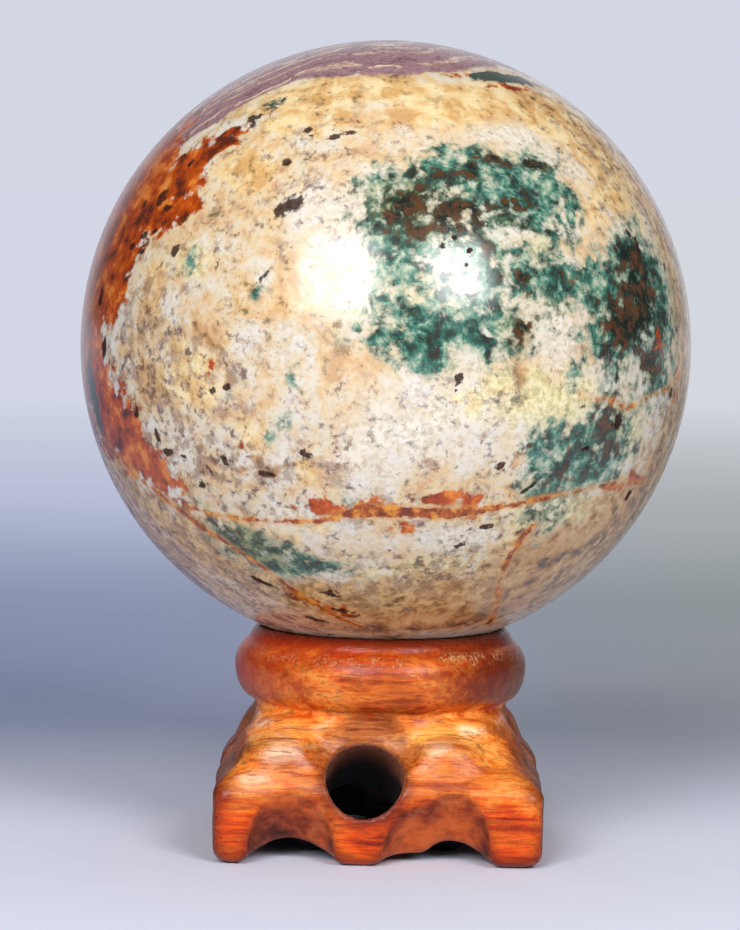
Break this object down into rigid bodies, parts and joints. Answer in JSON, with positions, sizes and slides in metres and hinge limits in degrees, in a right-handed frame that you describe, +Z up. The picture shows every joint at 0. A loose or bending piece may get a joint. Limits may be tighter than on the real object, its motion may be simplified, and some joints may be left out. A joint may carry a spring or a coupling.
{
  "type": "decorative sphere",
  "caption": "Polished stone sphere resting in the dished ring of a small carved wooden stand with drilled sides and scooped feet.",
  "frame": {"origin": "the floor under the feet, on the sphere's vertical axis", "axes": "+Z up, -Y is the front, +X to the right of someone facing the front; the wood grain runs along X"},
  "size_m": [0.08, 0.08, 0.1054],
  "materials": {
    "stone": "polished, mottled cream with rust veins and green patches",
    "wood": "waxed reddish hardwood, grain along X"
  },
  "bodies": {
    "root": {"stone_sphere": "stone", "wooden_stand": "wood"}
  },
  "joints": []
}
